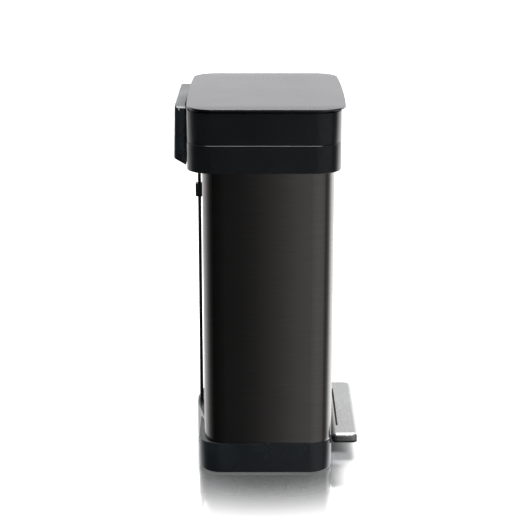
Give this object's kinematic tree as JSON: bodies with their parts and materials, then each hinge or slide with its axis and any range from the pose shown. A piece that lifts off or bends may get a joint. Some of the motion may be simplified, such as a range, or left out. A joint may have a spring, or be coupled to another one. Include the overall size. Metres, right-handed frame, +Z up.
{
  "type": "pedal trash can",
  "caption": "Tall rectangular step-on trash can: dark steel body, black base and collar, hinged flat lid lifted through a rear rod by a wide front pedal, with an inner bucket.",
  "frame": {"origin": "on the floor, midway between the pedal's front edge and the back of the hinge box, in the middle of the width", "axes": "+Z up, -Y towards the pedal (front), +Y towards the hinge, X across the width"},
  "size_m": [0.394, 0.3252, 0.655],
  "materials": {
    "black_moulding": "satin black moulding",
    "gloss_black": "semi-gloss black moulding",
    "dark_steel": "dark brushed stainless steel with a clear coat",
    "lid_steel": "black-tinted brushed stainless steel",
    "pedal_steel": "brushed stainless steel",
    "zinc_steel": "zinc-plated steel",
    "black_steel": "black painted rod",
    "pin_steel": "polished steel",
    "bucket_plastic": "dark grey polypropylene",
    "liner_plastic": "matt black moulding",
    "nylon": "natural nylon",
    "rubber": "black rubber"
  },
  "bodies": {
    "can": {"base_shell": "black_moulding", "base_bottom_plate": "black_moulding", "foot_pads": "rubber", "base_screws": "zinc_steel", "body_shell": "dark_steel", "collar": "gloss_black", "inner_bucket": "bucket_plastic", "rod_guide": "black_moulding", "guide_screws": "zinc_steel", "hinge_cover_upper": "black_moulding", "hinge_cover_lower": "black_moulding", "hinge_bracket": "zinc_steel", "cover_screws": "zinc_steel", "hinge_pin": "pin_steel", "lever_axle": "zinc_steel", "axle_clips": "zinc_steel", "axle_saddle_left": "black_moulding", "axle_saddle_right": "black_moulding"},
    "lid": {"lid_skirt": "gloss_black", "lid_top_plate": "lid_steel", "lid_liner": "liner_plastic", "lid_bumpers": "rubber", "lid_screws": "zinc_steel", "lid_hinge_arm_left": "zinc_steel", "lid_hinge_arm_right": "zinc_steel", "lid_crank": "zinc_steel", "crank_pin": "zinc_steel"},
    "rod": {"lift_rod": "black_steel", "rod_head": "nylon", "rod_foot": "nylon"},
    "pedal": {"pedal_plate": "pedal_steel", "pedal_tray": "liner_plastic", "pedal_screws": "zinc_steel", "pedal_grip": "rubber", "pedal_lever": "zinc_steel", "axle_bushes": "nylon"}
  },
  "joints": [
    {"name": "lid_open", "type": "hinge", "parent": "can", "child": "lid", "pos_m": [0, 0.15235, 0.6405], "axis": [-1, 0, 0], "range_deg": [0, 80]},
    {"name": "rod_lift", "type": "slide", "parent": "can", "child": "rod", "axis": [0, 0, 1], "range_m": [0, 0.036]},
    {"name": "pedal_press", "type": "hinge", "parent": "can", "child": "pedal", "pos_m": [0, -0.018, 0.024], "axis": [1, 0, 0], "range_deg": [0, 14.5]}
  ],
  "couplings": [
    {"joint": "rod_lift", "follows": "lid_open", "m_per_rad": 0.025783},
    {"joint": "pedal_press", "follows": "lid_open", "ratio": 0.18125}
  ]
}
